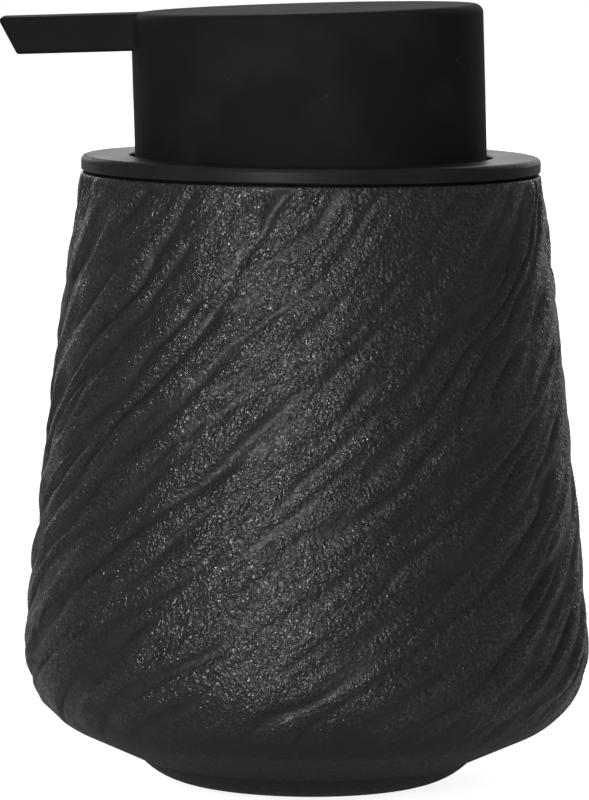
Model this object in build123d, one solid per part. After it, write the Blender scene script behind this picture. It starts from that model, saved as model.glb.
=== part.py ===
from build123d import *
import os
from math import atan2, degrees, radians, sin, sqrt, tan

# Soap pump dispenser: a stoneware pot with a press-down head.
# Millimetres. +Z is up, the pot stands on Z = 0, and the spout points to -X.

# ---- Pot ----
RIM_HEIGHT = 99.3          # top of the mouth rim
RIM_RADIUS = 37.4          # outside of the mouth rim
BELLY_RADIUS = 46.0        # widest point
BELLY_HEIGHT = 22.0
WALL = 5.0
SHOULDER_RADIUS = 14.4     # the bend between the side and the underside
SHOULDER_SWEEP = 65.6      # degrees of that bend
SIDE_BEND_RADIUS = 80.0    # the soft bend just above the belly
SIDE_START = 0.866         # the side's slope where it leaves that bend, as a share of its mean slope
FOOT_HEIGHT = 4.2
FOOT_BASE_RADIUS = 19.5
FOOT_CROWN = 0.8           # how far the foot's side bulges from a straight slope
FLOOR_THICKNESS = 6.4
RIM_ROUND = 0.8

# ---- Base pad ----
PAD_RADIUS = 17.0
PAD_THICKNESS = 1.6
PAD_PROUD = 0.4            # the pad stands this far below the stoneware
PAD_GAP = 0.2

# ---- Collar, its seal and the threaded neck ----
SEAL_THICKNESS = 0.7
SEAL_GAP = 0.3             # between the seal's skirt and the mouth
SEAL_SKIRT = 0.9
SEAL_DEPTH = 6.0
SEAL_INSET = 0.9           # the seal's edge lies this far inside the rim
FLANGE_THICKNESS = 2.45
FLANGE_INSET = 0.1         # the flange's edge inside the rim's
FLANGE_TOP_ROUND = 0.85
FLANGE_EDGE_ROUND = 0.3
WELL_WALL = 1.7
WELL_FLOOR = 2.0
WELL_CLEARANCE = 1.2       # left under the cap at full press
NECK_RADIUS = 13.5
NECK_BORE_RADIUS = 10.0
NECK_HEIGHT = 10.0
ASSEMBLY_FIT = 0.05        # radial gap between pieces that are pushed together
RUNNING_FIT = 0.08         # radial gap between pieces that slide or turn

# ---- Head ----
CAP_GAP = 0.95             # round the cap, in the flange's hole
CAP_RISE = 23.9            # top of the cap above the flange
CAP_DIP = 3.0              # the cap's skirt below the flange's top
CAP_WALL = 1.8
CAP_ROOF = 2.0
CAP_ROUND = 1.5
SKIRT_ROUND = 0.4
HEAD_LEAN = 2.1            # degrees, towards the spout
STROKE = 12.0
SPOUT_REACH = 21.35        # from the cap's side to the tip
SPOUT_WIDTH = 11.0
SPOUT_THICKNESS = 6.0
SPOUT_SLANT = 26.6         # degrees of the tip's face from upright
SPOUT_ROUND = 0.9
SPOUT_TIP_ROUND = 0.5
CORE_RADIUS = 6.6          # the actuator core inside the cap
CORE_ROOF = 1.2            # the cap's thickness over the core
BOSS_WALL = 2.0
BOSS_DEPTH = 9.3
RIB_COUNT = 5
RIB_THICKNESS = 1.2
RIB_DEPTH = 4.0
LINER_RADIUS = 1.85
LINER_BORE_RADIUS = 1.35
LINER_RECESS = 0.4         # the liner's end lies this far inside the tip
RISER_RADIUS = 1.8

# ---- Closure ----
GASKET_THICKNESS = 1.0
NUT_RADIUS = 16.5
NUT_WEB = 1.6
NUT_FOOT_GAP = 1.0         # between the nut and the well's floor
NUT_GRIPS = 30
GRIP_RADIUS = 0.5
HUB_RADIUS = 8.6
HUB_RISE = 1.0             # the chaplet's hub above the nut
HUB_CLEARANCE = 0.6        # left between hub and core at full press

# ---- Pump ----
HOUSING_FLANGE_RADIUS = 13.0
HOUSING_FLANGE = 1.4
HOUSING_UPPER_RADIUS = 9.7
UPPER_WALL = 1.35          # the housing's wall round the chaplet
HOUSING_WALL = 1.5
CYLINDER_RADIUS = 6.1      # the bore that the piston runs in
CHAPLET_FLANGE_RADIUS = 12.6
CHAPLET_FLANGE = 1.2
CHAPLET_DEPTH = 13.6
CHAPLET_RELIEF = 1.6       # radial room round the stem inside the chaplet
CHAPLET_LIP_GAP = 0.5      # radial room round the stem at the chaplet's lip
CHAPLET_LIP = 1.5
GUIDE_LENGTH = 6.0
VENT_RADIUS = 0.6
STEM_RADIUS = 4.0
STEM_BORE_RADIUS = 2.4
STOP_RIM = 1.2             # the stem's stop collar stands this far out
STOP_THICKNESS = 1.5
STOP_GAP = 0.3
SHANK_RADIUS = 3.4         # the stem below its stop collar
SOCKET_DEPTH = 6.5
SOCKET_GAP = 0.1
PISTON_HEIGHT = 9.4
PISTON_LIP = 1.6
PISTON_RELIEF = 0.7
PISTON_FLOAT = 1.0
SEAT_GAP = 0.05            # between faces that rest on each other across a joint
FLOAT_MARGIN = 0.1         # left over at the end of a floating piece's travel
VALVE_HEAD_RADIUS = 4.8
VALVE_HEAD = 2.0
VALVE_NECK_RADIUS = 1.9
VALVE_NECK = 3.4
VALVE_PLUG = 8.0
VALVE_FLAT = 1.5           # half the width across the plug's flats
PILOT_RADIUS = 2.6
PILOT_LENGTH = 4.0
PILOT_CHAMFER = 0.6
SPRING_LENGTH = 22.0
SPRING_RADIUS = 4.0        # middle of the coil
SPRING_WIRE_RADIUS = 0.45
SPRING_TURNS = 7
CAGE_THICKNESS = 3.0
CAGE_HOLE_RADIUS = 1.6
CAGE_PORTS = 4
CAGE_PORT_RADIUS = 0.7
CAGE_PORT_CIRCLE = 2.9
BALL_RADIUS = 2.5
BALL_LIFT = 1.5
BALL_ROOM = 0.9            # between the ball and its chamber's wall
INLET_RADIUS = 1.5
INLET_WEB = 1.0
NOZZLE_RADIUS = 5.2
TUBE_RADIUS = 3.5
TUBE_BORE_RADIUS = 2.6
TUBE_SOCKET = 8.0
TUBE_FIT = 0.02
TUBE_GAP = 3.0             # between the tube's end and the pot's floor
TUBE_CUT = 35.0            # degrees of the tube's slanted end

# ---- Sizes that follow ----
MEAN_TAPER = degrees(atan2(BELLY_RADIUS - RIM_RADIUS, RIM_HEIGHT - BELLY_HEIGHT))
FLOOR_Z = PAD_THICKNESS + FLOOR_THICKNESS
MOUTH_RADIUS = RIM_RADIUS - WALL
WELL_OUTER_RADIUS = MOUTH_RADIUS - SEAL_GAP - SEAL_SKIRT
WELL_RADIUS = WELL_OUTER_RADIUS - WELL_WALL
CAP_RADIUS = WELL_RADIUS - CAP_GAP
FLANGE_RADIUS = RIM_RADIUS - FLANGE_INSET
FLANGE_BOTTOM = RIM_HEIGHT + SEAL_THICKNESS
FLANGE_TOP = FLANGE_BOTTOM + FLANGE_THICKNESS
CAP_TOP = FLANGE_TOP + CAP_RISE
CAP_BOTTOM = FLANGE_TOP - CAP_DIP
LEAN_DROP = CAP_RADIUS * sin(radians(HEAD_LEAN))
WELL_BOTTOM = CAP_BOTTOM - LEAN_DROP - STROKE - WELL_CLEARANCE
NECK_TOP = WELL_BOTTOM + NECK_HEIGHT
HOUSING_SEAT = NECK_TOP + GASKET_THICKNESS
HOUSING_TOP = HOUSING_SEAT + HOUSING_FLANGE
CHAPLET_SEAT = HOUSING_TOP + CHAPLET_FLANGE
NUT_TOP = CHAPLET_SEAT + NUT_WEB
HUB_TOP = NUT_TOP + HUB_RISE
LEDGE = HOUSING_TOP - CHAPLET_DEPTH
UPPER_BORE_RADIUS = HOUSING_UPPER_RADIUS - UPPER_WALL
CORE_BOTTOM = HUB_TOP + STROKE + HUB_CLEARANCE
CORE_TOP = CAP_TOP - CORE_ROOF
SPOUT_BOTTOM = CAP_TOP - SPOUT_THICKNESS
CHANNEL_Z = CAP_TOP - SPOUT_THICKNESS / 2
SOCKET_TOP = CORE_BOTTOM + SOCKET_DEPTH
STEM_TOP = SOCKET_TOP - SOCKET_GAP
STOP_TOP = LEDGE - STOP_GAP
STOP_BOTTOM = STOP_TOP - STOP_THICKNESS
PISTON_TOP = STOP_BOTTOM - PISTON_FLOAT - FLOAT_MARGIN
PISTON_BOTTOM = PISTON_TOP - PISTON_HEIGHT
VALVE_TOP = PISTON_BOTTOM - SEAT_GAP
VALVE_BOTTOM = VALVE_TOP - VALVE_HEAD
SHANK_BOTTOM = VALVE_TOP + VALVE_NECK
CAGE_TOP = VALVE_BOTTOM - SPRING_LENGTH
CYLINDER_FLOOR = CAGE_TOP - CAGE_THICKNESS
BALL_Z = CYLINDER_FLOOR - FLOAT_MARGIN - BALL_LIFT - BALL_RADIUS
CHAMBER_RADIUS = BALL_RADIUS + BALL_ROOM
SEAT_APEX = BALL_Z - sqrt(2) * (BALL_RADIUS + SEAT_GAP)
SOCKET_ROOF = SEAT_APEX + INLET_RADIUS - INLET_WEB
NOZZLE_BOTTOM = SOCKET_ROOF - TUBE_SOCKET
TUBE_BOTTOM = FLOOR_Z + TUBE_GAP

PAST = 1.0                 # how far a cutter runs past the face it cuts


def disc(radius, bottom, top):
    """A plain cylinder on the Z axis between two heights."""
    height = top - bottom
    return Pos(0, 0, bottom + height / 2) * Cylinder(radius, height)


def ring(outer, inner, bottom, top):
    """A disc with a round hole through it."""
    return disc(outer, bottom, top) - disc(inner, bottom - PAST, top + PAST)


def turned(points):
    """A turned solid from a closed outline of (radius, height) points."""
    return revolve(Plane.XZ * make_face(Polyline(points, close=True)), Axis.Z)


def leaned(shape):
    """A head piece, built upright, tipped to the angle at which the head sits on its stem."""
    pivot = Pos(0, 0, FLANGE_TOP)
    return pivot * Rot(0, -HEAD_LEAN, 0) * pivot.inverse() * shape


def pot_side(inset):
    """The pot's side as three arcs, from the underside up to the rim, moved inwards by inset."""
    shoulder_centre = (BELLY_RADIUS - SHOULDER_RADIUS, BELLY_HEIGHT)
    bend_centre = (BELLY_RADIUS - SIDE_BEND_RADIUS, BELLY_HEIGHT)
    shoulder = CenterArc(shoulder_centre, SHOULDER_RADIUS - inset, -SHOULDER_SWEEP, SHOULDER_SWEEP)
    bend = CenterArc(bend_centre, SIDE_BEND_RADIUS - inset, 0, SIDE_START * MEAN_TAPER)
    side = TangentArc(bend @ 1, (RIM_RADIUS - inset, RIM_HEIGHT), tangent=bend % 1)
    return [shoulder, bend, side]


def underside_at(shoulder, height):
    """The point where the straight underside, which runs on from the shoulder, is at a height."""
    start = shoulder @ 0
    slope = tan(radians(90 - SHOULDER_SWEEP))
    return (start.X - (start.Y - height) / slope, height)


def container():
    outer = pot_side(0)
    foot_edge = underside_at(outer[0], FOOT_HEIGHT)
    foot_base = (FOOT_BASE_RADIUS, PAD_PROUD)
    recess = PAD_RADIUS + PAD_GAP
    outer.append(Line(outer[0] @ 0, foot_edge))
    outer.append(SagittaArc(foot_edge, foot_base, FOOT_CROWN))
    outer.append(Polyline(foot_base, (recess, PAD_PROUD), (recess, PAD_THICKNESS), (0, PAD_THICKNESS)))
    outer.append(Polyline((0, PAD_THICKNESS), (0, RIM_HEIGHT), (RIM_RADIUS, RIM_HEIGHT)))
    inner = pot_side(WALL)
    floor_edge = underside_at(inner[0], FLOOR_Z)
    inner.append(Polyline(inner[0] @ 0, floor_edge, (0, FLOOR_Z), (0, RIM_HEIGHT), inner[2] @ 1))
    section = make_face(outer) - make_face(inner)
    section = fillet(section.vertices().group_by(Axis.Y)[-1], RIM_ROUND)
    return revolve(Plane.XZ * section, Axis.Z)


def base_pad():
    pad = disc(PAD_RADIUS, 0, PAD_THICKNESS)
    return fillet(pad.edges().group_by(Axis.Z)[0], PAD_PROUD / 2)


def mouth_seal():
    """A flat ring that lies on the rim, with a skirt that hugs the well."""
    inner = WELL_OUTER_RADIUS + ASSEMBLY_FIT
    skirt = MOUTH_RADIUS - SEAL_GAP
    edge = RIM_RADIUS - SEAL_INSET
    return turned([
        (inner, FLANGE_BOTTOM),
        (edge, FLANGE_BOTTOM),
        (edge, RIM_HEIGHT),
        (skirt, RIM_HEIGHT),
        (skirt, FLANGE_BOTTOM - SEAL_DEPTH),
        (inner, FLANGE_BOTTOM - SEAL_DEPTH),
    ])


def collar_insert():
    """The flange, the well that the cap sinks into, and the neck that the nut screws onto."""
    flange = disc(FLANGE_RADIUS, FLANGE_BOTTOM, FLANGE_TOP)
    flange = fillet(flange.edges().group_by(Axis.Z)[-1], FLANGE_TOP_ROUND)
    flange = fillet(flange.edges().group_by(Axis.Z)[0], FLANGE_EDGE_ROUND)
    well = disc(WELL_OUTER_RADIUS, WELL_BOTTOM - WELL_FLOOR, FLANGE_BOTTOM)
    room = disc(WELL_RADIUS, WELL_BOTTOM, FLANGE_TOP + PAST)
    neck = disc(NECK_RADIUS, WELL_BOTTOM, NECK_TOP)
    bore = disc(NECK_BORE_RADIUS, WELL_BOTTOM - WELL_FLOOR - PAST, NECK_TOP + PAST)
    collar = flange + well - room + neck - bore
    top_edges = collar.edges().group_by(Axis.Z)[-1]
    return fillet(top_edges.sort_by(SortBy.RADIUS)[0], FLANGE_EDGE_ROUND)


def neck_gasket():
    return ring(NECK_RADIUS - ASSEMBLY_FIT, NECK_BORE_RADIUS, NECK_TOP, HOUSING_SEAT)


def vent():
    """A small bore across the housing and the chaplet that lets air back into the pot."""
    height = (LEDGE + NECK_TOP) / 2
    reach = HOUSING_UPPER_RADIUS + PAST
    return Pos(reach / 2, 0, height) * Rot(0, 90, 0) * Cylinder(VENT_RADIUS, reach)


def pump_housing():
    outer = CYLINDER_RADIUS + HOUSING_WALL
    housing = turned([
        (HOUSING_FLANGE_RADIUS, HOUSING_SEAT),
        (HOUSING_FLANGE_RADIUS, HOUSING_TOP),
        (UPPER_BORE_RADIUS, HOUSING_TOP),
        (UPPER_BORE_RADIUS, LEDGE),
        (CYLINDER_RADIUS, LEDGE),
        (CYLINDER_RADIUS, CYLINDER_FLOOR),
        (CHAMBER_RADIUS, CYLINDER_FLOOR),
        (CHAMBER_RADIUS, SEAT_APEX + CHAMBER_RADIUS),
        (INLET_RADIUS, SEAT_APEX + INLET_RADIUS),
        (INLET_RADIUS, SOCKET_ROOF),
        (TUBE_RADIUS + TUBE_FIT, SOCKET_ROOF),
        (TUBE_RADIUS + TUBE_FIT, NOZZLE_BOTTOM),
        (NOZZLE_RADIUS, NOZZLE_BOTTOM),
        (NOZZLE_RADIUS, CYLINDER_FLOOR - HOUSING_WALL),
        (outer, CYLINDER_FLOOR),
        (outer, LEDGE - HOUSING_WALL),
        (HOUSING_UPPER_RADIUS, LEDGE),
        (HOUSING_UPPER_RADIUS, HOUSING_SEAT),
    ])
    return housing - vent()


def chaplet():
    """The guide that holds the stem upright and stops it at the top of its travel."""
    sleeve = UPPER_BORE_RADIUS - ASSEMBLY_FIT
    guide = STEM_RADIUS + RUNNING_FIT
    lip = STEM_RADIUS + CHAPLET_LIP_GAP
    relief = STEM_RADIUS + CHAPLET_RELIEF
    guide_bottom = HUB_TOP - GUIDE_LENGTH
    chaplet_solid = turned([
        (guide, HUB_TOP),
        (HUB_RADIUS, HUB_TOP),
        (HUB_RADIUS, CHAPLET_SEAT),
        (CHAPLET_FLANGE_RADIUS, CHAPLET_SEAT),
        (CHAPLET_FLANGE_RADIUS, HOUSING_TOP),
        (sleeve, HOUSING_TOP),
        (sleeve, LEDGE),
        (lip, LEDGE),
        (lip, LEDGE + CHAPLET_LIP),
        (relief, LEDGE + CHAPLET_LIP),
        (relief, guide_bottom - PAST),
        (guide, guide_bottom),
    ])
    return chaplet_solid - vent()


def closure_nut():
    """The nut that clamps chaplet, housing and gasket onto the neck, with finger grips."""
    bottom = WELL_BOTTOM + NUT_FOOT_GAP
    nut = disc(NUT_RADIUS, bottom, NUT_TOP)
    nut = fillet(nut.edges().group_by(Axis.Z)[-1], NUT_WEB / 2)
    nut = nut - disc(NECK_RADIUS + ASSEMBLY_FIT, bottom - PAST, CHAPLET_SEAT)
    nut = nut - disc(HUB_RADIUS + ASSEMBLY_FIT, bottom, NUT_TOP + PAST)
    grip = disc(GRIP_RADIUS, bottom - PAST, NUT_TOP - NUT_WEB)
    grips = [place * grip for place in PolarLocations(NUT_RADIUS, NUT_GRIPS)]
    return nut - grips


def dip_tube():
    tube = ring(TUBE_RADIUS, TUBE_BORE_RADIUS, TUBE_BOTTOM, SOCKET_ROOF)
    size = 4 * TUBE_RADIUS
    blade = Pos(0, 0, -size / 2) * Box(size, size, size)
    rise = TUBE_RADIUS * tan(radians(TUBE_CUT))
    return tube - Pos(0, 0, TUBE_BOTTOM + rise) * Rot(0, TUBE_CUT, 0) * blade


def inlet_ball():
    return Pos(0, 0, BALL_Z) * Sphere(BALL_RADIUS)


def ball_cage():
    """The disc over the inlet ball, which stops the ball and carries the spring."""
    cage = ring(CYLINDER_RADIUS - ASSEMBLY_FIT, CAGE_HOLE_RADIUS, CYLINDER_FLOOR, CAGE_TOP)
    port = disc(CAGE_PORT_RADIUS, CYLINDER_FLOOR - PAST, CAGE_TOP + PAST)
    ports = [place * port for place in PolarLocations(CAGE_PORT_CIRCLE, CAGE_PORTS)]
    return cage - ports


def pump_spring():
    wire = SPRING_WIRE_RADIUS
    height = SPRING_LENGTH - 2 * (wire + SEAT_GAP)
    path = Helix(height / SPRING_TURNS, height, SPRING_RADIUS)
    section = Plane(origin=path @ 0, z_dir=path % 0) * Circle(wire)
    return Pos(0, 0, CAGE_TOP + wire + SEAT_GAP) * sweep(section, path=path)


def piston():
    """The sliding seal: two lips on the cylinder's wall and a bore that grips the stem's shank."""
    lip = CYLINDER_RADIUS - RUNNING_FIT
    bore = SHANK_RADIUS + RUNNING_FIT
    waist = lip - PISTON_RELIEF
    return turned([
        (bore, PISTON_BOTTOM),
        (lip - PISTON_RELIEF / 2, PISTON_BOTTOM),
        (lip, PISTON_BOTTOM + PISTON_RELIEF / 2),
        (lip, PISTON_BOTTOM + PISTON_LIP),
        (waist, PISTON_BOTTOM + PISTON_LIP + PISTON_RELIEF),
        (waist, PISTON_TOP - PISTON_LIP - PISTON_RELIEF),
        (lip, PISTON_TOP - PISTON_LIP),
        (lip, PISTON_TOP - PISTON_RELIEF / 2),
        (lip - PISTON_RELIEF / 2, PISTON_TOP),
        (bore, PISTON_TOP),
    ])


def stem():
    """The hollow stem, with the stop collar that meets the chaplet and pushes the piston."""
    return turned([
        (STEM_BORE_RADIUS, SHANK_BOTTOM),
        (SHANK_RADIUS, SHANK_BOTTOM),
        (SHANK_RADIUS, STOP_BOTTOM),
        (STEM_RADIUS + STOP_RIM, STOP_BOTTOM),
        (STEM_RADIUS + STOP_RIM, STOP_TOP),
        (STEM_RADIUS, STOP_TOP),
        (STEM_RADIUS, STEM_TOP),
        (STEM_BORE_RADIUS, STEM_TOP),
    ])


def outlet_valve():
    """The pin pushed into the stem's foot, whose head closes the piston's bore at rest."""
    plug = STEM_BORE_RADIUS - ASSEMBLY_FIT
    pilot_end = VALVE_BOTTOM - PILOT_LENGTH
    pin = turned([
        (0, pilot_end),
        (PILOT_RADIUS - PILOT_CHAMFER, pilot_end),
        (PILOT_RADIUS, pilot_end + PILOT_CHAMFER),
        (PILOT_RADIUS, VALVE_BOTTOM),
        (VALVE_HEAD_RADIUS, VALVE_BOTTOM),
        (VALVE_HEAD_RADIUS, VALVE_TOP),
        (VALVE_NECK_RADIUS, VALVE_TOP),
        (VALVE_NECK_RADIUS, SHANK_BOTTOM),
        (plug, SHANK_BOTTOM),
        (plug, SHANK_BOTTOM + VALVE_PLUG),
        (0, SHANK_BOTTOM + VALVE_PLUG),
    ])
    flat = Box(plug, 4 * plug, VALVE_PLUG + 2 * PAST)
    height = SHANK_BOTTOM + VALVE_PLUG / 2
    offset = VALVE_FLAT + plug / 2
    return pin - Pos(offset, 0, height) * flat - Pos(-offset, 0, height) * flat


def spout_bar(inset=0.0):
    """The spout as a solid bar from the cap's middle to its slanted tip."""
    tip = -CAP_RADIUS - SPOUT_REACH + inset
    heel = tip + SPOUT_THICKNESS * tan(radians(SPOUT_SLANT))
    side = Polyline((0, CAP_TOP), (tip, CAP_TOP), (heel, SPOUT_BOTTOM), (0, SPOUT_BOTTOM), close=True)
    return extrude(Plane.XZ * make_face(side), SPOUT_WIDTH / 2, both=True)


def channel(radius, start, length):
    """A round rod along the spout from a point near the middle of the cap."""
    return Pos(start - length / 2, 0, CHANNEL_Z) * Rot(0, 90, 0) * Cylinder(radius, length)


def cap_shell():
    """The cap with its spout, the boss that holds the core, and stiffening ribs."""
    roof = CAP_TOP - CAP_ROOF
    shell = disc(CAP_RADIUS, CAP_BOTTOM, CAP_TOP)
    shell = fillet(shell.edges().group_by(Axis.Z)[-1], CAP_ROUND)
    shell = shell - disc(CAP_RADIUS - CAP_WALL, CAP_BOTTOM - PAST, roof)
    shell = fillet(shell.edges().group_by(Axis.Z)[0], SKIRT_ROUND)
    bar = spout_bar()
    bar = fillet(bar.edges().filter_by(Axis.X), SPOUT_ROUND)
    bar = fillet(bar.edges().group_by(Axis.X)[0], SPOUT_TIP_ROUND)
    cap = shell + bar
    boss = disc(CORE_RADIUS + BOSS_WALL, CAP_TOP - BOSS_DEPTH, roof)
    rib_length = CAP_RADIUS - CAP_WALL / 2
    rib = Pos(rib_length / 2, 0, roof - RIB_DEPTH / 2) * Box(rib_length, RIB_THICKNESS, RIB_DEPTH)
    step = 360 / (RIB_COUNT + 1)
    ribs = [Rot(0, 0, 180 + step * (number + 1)) * rib for number in range(RIB_COUNT)]
    cap = cap + boss + ribs
    cap = cap - disc(CORE_RADIUS + ASSEMBLY_FIT, CAP_BOTTOM, CORE_TOP)
    cap = cap - channel(LINER_RADIUS + ASSEMBLY_FIT, 0, 2 * CAP_RADIUS + SPOUT_REACH)
    return leaned(cap)


def actuator_core():
    """The core inside the cap: a socket that turns on the stem, and an elbow to the spout."""
    core = disc(CORE_RADIUS, CORE_BOTTOM, CORE_TOP)
    port = channel(LINER_BORE_RADIUS, RISER_RADIUS, CORE_RADIUS + RISER_RADIUS + PAST)
    socket = disc(STEM_RADIUS + RUNNING_FIT, CORE_BOTTOM - PAST, SOCKET_TOP)
    riser = disc(RISER_RADIUS, SOCKET_TOP - PAST, CHANNEL_Z)
    return leaned(core - port) - socket - riser


def spout_liner():
    """The thin tube that carries the soap from the core to the tip."""
    length = CAP_RADIUS + SPOUT_REACH
    start = -CORE_RADIUS - ASSEMBLY_FIT
    tube = channel(LINER_RADIUS, start, length) - channel(LINER_BORE_RADIUS, 0, 2 * length)
    return leaned(tube & spout_bar(LINER_RECESS))


PIECES = [
    container, base_pad, mouth_seal, collar_insert, neck_gasket, pump_housing, chaplet,
    closure_nut, dip_tube, inlet_ball, ball_cage, pump_spring, piston, stem, outlet_valve,
    cap_shell, actuator_core, spout_liner,
]

os.makedirs("parts", exist_ok=True)
for piece in PIECES:
    shape = piece()
    export_step(shape, f"parts/{piece.__name__}.step")
    box = shape.bounding_box()
    print(f"{piece.__name__:14s} {shape.volume:10.1f} mm3  Z {box.min.Z:7.2f} to {box.max.Z:7.2f}")
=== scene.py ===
# %% [markdown]
# # A stoneware soap dispenser with a press-down head
#
# The object is a dark, creased stoneware pot. A flat black collar lies on its rim, and a straight
# black cap with a thin spout stands in the collar's round hole and sinks into it when pressed.
# The engineering model brings every part at its real size and place. This lesson gives those parts
# their looks: the pot is made again with its creases, the spring is made again as a coil, and each
# finish is built as a material.

# %% Load the engineering model
import math

import bpy
import numpy as np
from mathutils import Matrix, Vector


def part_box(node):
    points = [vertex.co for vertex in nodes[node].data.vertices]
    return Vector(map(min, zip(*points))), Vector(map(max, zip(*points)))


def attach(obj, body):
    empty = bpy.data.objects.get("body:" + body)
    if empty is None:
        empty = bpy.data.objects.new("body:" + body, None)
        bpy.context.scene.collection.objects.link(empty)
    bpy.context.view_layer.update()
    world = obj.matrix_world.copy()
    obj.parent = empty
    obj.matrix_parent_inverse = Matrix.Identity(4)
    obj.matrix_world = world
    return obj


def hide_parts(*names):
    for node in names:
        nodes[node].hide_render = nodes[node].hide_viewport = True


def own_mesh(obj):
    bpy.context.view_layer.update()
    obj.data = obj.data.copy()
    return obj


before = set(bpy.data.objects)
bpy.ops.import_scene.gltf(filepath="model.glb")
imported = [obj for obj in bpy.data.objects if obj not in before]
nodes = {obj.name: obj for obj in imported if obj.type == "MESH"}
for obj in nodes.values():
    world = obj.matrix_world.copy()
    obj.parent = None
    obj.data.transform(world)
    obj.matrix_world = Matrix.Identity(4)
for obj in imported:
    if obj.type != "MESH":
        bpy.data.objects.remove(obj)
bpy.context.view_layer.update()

MM = 0.001
scene = bpy.context.scene

# %% [markdown]
# ## The camera
#
# The view is a product shot: nearly a side view, a little above the pot, so that the collar's top
# shows as a thin ellipse. A short lens close by would make the near parts look too large. A long
# lens far away keeps the pot's sides almost parallel and its proportions true, so that is used
# here. The camera leans half a degree, as a hand-set tripod does.

# %% Camera
CAMERA_DISTANCE = 950 * MM
CAMERA_HEIGHT = 156.85 * MM
CAMERA_SIDE = -2.33 * MM
LOOK_DOWN = math.radians(5.67)
CAMERA_ROLL = math.radians(0.5)
LENS_MM = 263.6
SENSOR_WIDTH_MM = 36.0

camera_data = bpy.data.cameras.new("camera")
camera_data.lens = LENS_MM
camera_data.sensor_width = SENSOR_WIDTH_MM
camera = bpy.data.objects.new("camera", camera_data)
camera.location = (CAMERA_SIDE, -CAMERA_DISTANCE, CAMERA_HEIGHT)
tilt = Matrix.Rotation(math.pi / 2 - LOOK_DOWN, 3, "X")
camera.rotation_euler = (tilt @ Matrix.Rotation(CAMERA_ROLL, 3, "Z")).to_euler()
scene.collection.objects.link(camera)
scene.camera = camera
scene.view_settings.view_transform = "Standard"
print("camera at", [round(value, 3) for value in camera.location])

# %% [markdown]
# ## Three small helpers
#
# A colour picker shows sRGB values, but a shader works with linear light, so the first function
# turns a hex colour into linear numbers. Node trees are long to write by hand, so the second adds
# a node, sets its options, and fills each input with a value or with a link. A link is given as
# another node's socket, or as the node itself when its first output is meant. The third starts a
# material and sets whatever is the same all over its surface.


# %% Colours, nodes and materials
def linear(hex_colour):
    """An RGBA colour in linear light from an sRGB hex value such as "#1c1c1e"."""
    channels = [int(hex_colour[i:i + 2], 16) / 255 for i in (1, 3, 5)]
    return [c / 12.92 if c <= 0.04045 else ((c + 0.055) / 1.055) ** 2.4 for c in channels] + [1.0]


def add(tree, kind, inputs=None, **options):
    """A new node in a tree, with its options set and its inputs filled or linked."""
    node = tree.nodes.new(kind)
    for name, value in options.items():
        setattr(node, name, value)
    for name, value in (inputs or {}).items():
        if isinstance(value, bpy.types.Node):
            value = next(socket for socket in value.outputs if socket.enabled)
        if isinstance(value, bpy.types.NodeSocket):
            tree.links.new(value, node.inputs[name])
        else:
            node.inputs[name].default_value = value
    return node


def new_material(name, **surface):
    """A material with one principled surface; returns the material, its tree and the surface."""
    material = bpy.data.materials.new(name)
    material.use_nodes = True
    tree = material.node_tree
    shader = tree.nodes["Principled BSDF"]
    for label, value in surface.items():
        shader.inputs[label.replace("_", " ")].default_value = value
    return material, tree, shader


WHITE = linear("#ffffff")
print("white in linear light:", WHITE)

# %% [markdown]
# ## The floor
#
# The dispenser stands on a sheet of pale paper that runs far back, so it stands out against
# white. The sheet could be lit until it turns white, but then it would light the pot from below
# as well. Instead the paper glows a little for the camera alone, and hardly at all in reflections.

# %% Floor sheet
FLOOR_SIZE = 14.0
FLOOR_DROP = 0.2 * MM

half = FLOOR_SIZE / 2
corners = [(-half, -half), (half, -half), (half, half), (-half, half)]
floor_mesh = bpy.data.meshes.new("floor")
floor_mesh.from_pydata([(x, y, -FLOOR_DROP) for x, y in corners], [], [(0, 1, 2, 3)])
floor = bpy.data.objects.new("floor", floor_mesh)
scene.collection.objects.link(floor)
print("floor:", FLOOR_SIZE, "m square")

# %% Floor paper
# Backdrop paper: wood pulp rolled flat with no coating, so it scatters light evenly and has no
# gloss to speak of.
PAPER_GREY = "#cccccc"
PAPER_ROUGHNESS = 0.9
GLOW_FOR_CAMERA = 0.88
GLOW_IN_GLOSS = 0.05

paper, tree, shader = new_material("studio_paper", Base_Color=linear(PAPER_GREY),
                                   Roughness=PAPER_ROUGHNESS)
ray = add(tree, "ShaderNodeLightPath").outputs
in_view = add(tree, "ShaderNodeMath", {0: ray["Is Camera Ray"], 1: GLOW_FOR_CAMERA},
              operation="MULTIPLY")
glow = add(tree, "ShaderNodeMath", {0: ray["Is Glossy Ray"], 1: GLOW_IN_GLOSS, 2: in_view},
           operation="MULTIPLY_ADD")
glowing = add(tree, "ShaderNodeEmission", {"Color": WHITE, "Strength": glow})
bright = add(tree, "ShaderNodeAddShader", {0: shader, 1: glowing})
tree.links.new(bright.outputs[0], tree.nodes["Material Output"].inputs["Surface"])
floor_mesh.materials.append(paper)
print("floor finish:", paper.name)

# %% [markdown]
# ## The lights
#
# Black objects show the room more than themselves: what the eye reads on them is mostly
# reflection. Small hard lamps would leave sharp dots, so every light is a soft panel. A tall,
# narrow one in front and to the left picks out the flecks on the creases. A very wide one behind
# draws a thin light edge down both sides and brightens the flat tops. A weak one overhead fills
# the collar. The room itself looks white to the camera and lights the object a fifth as strongly.

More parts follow.
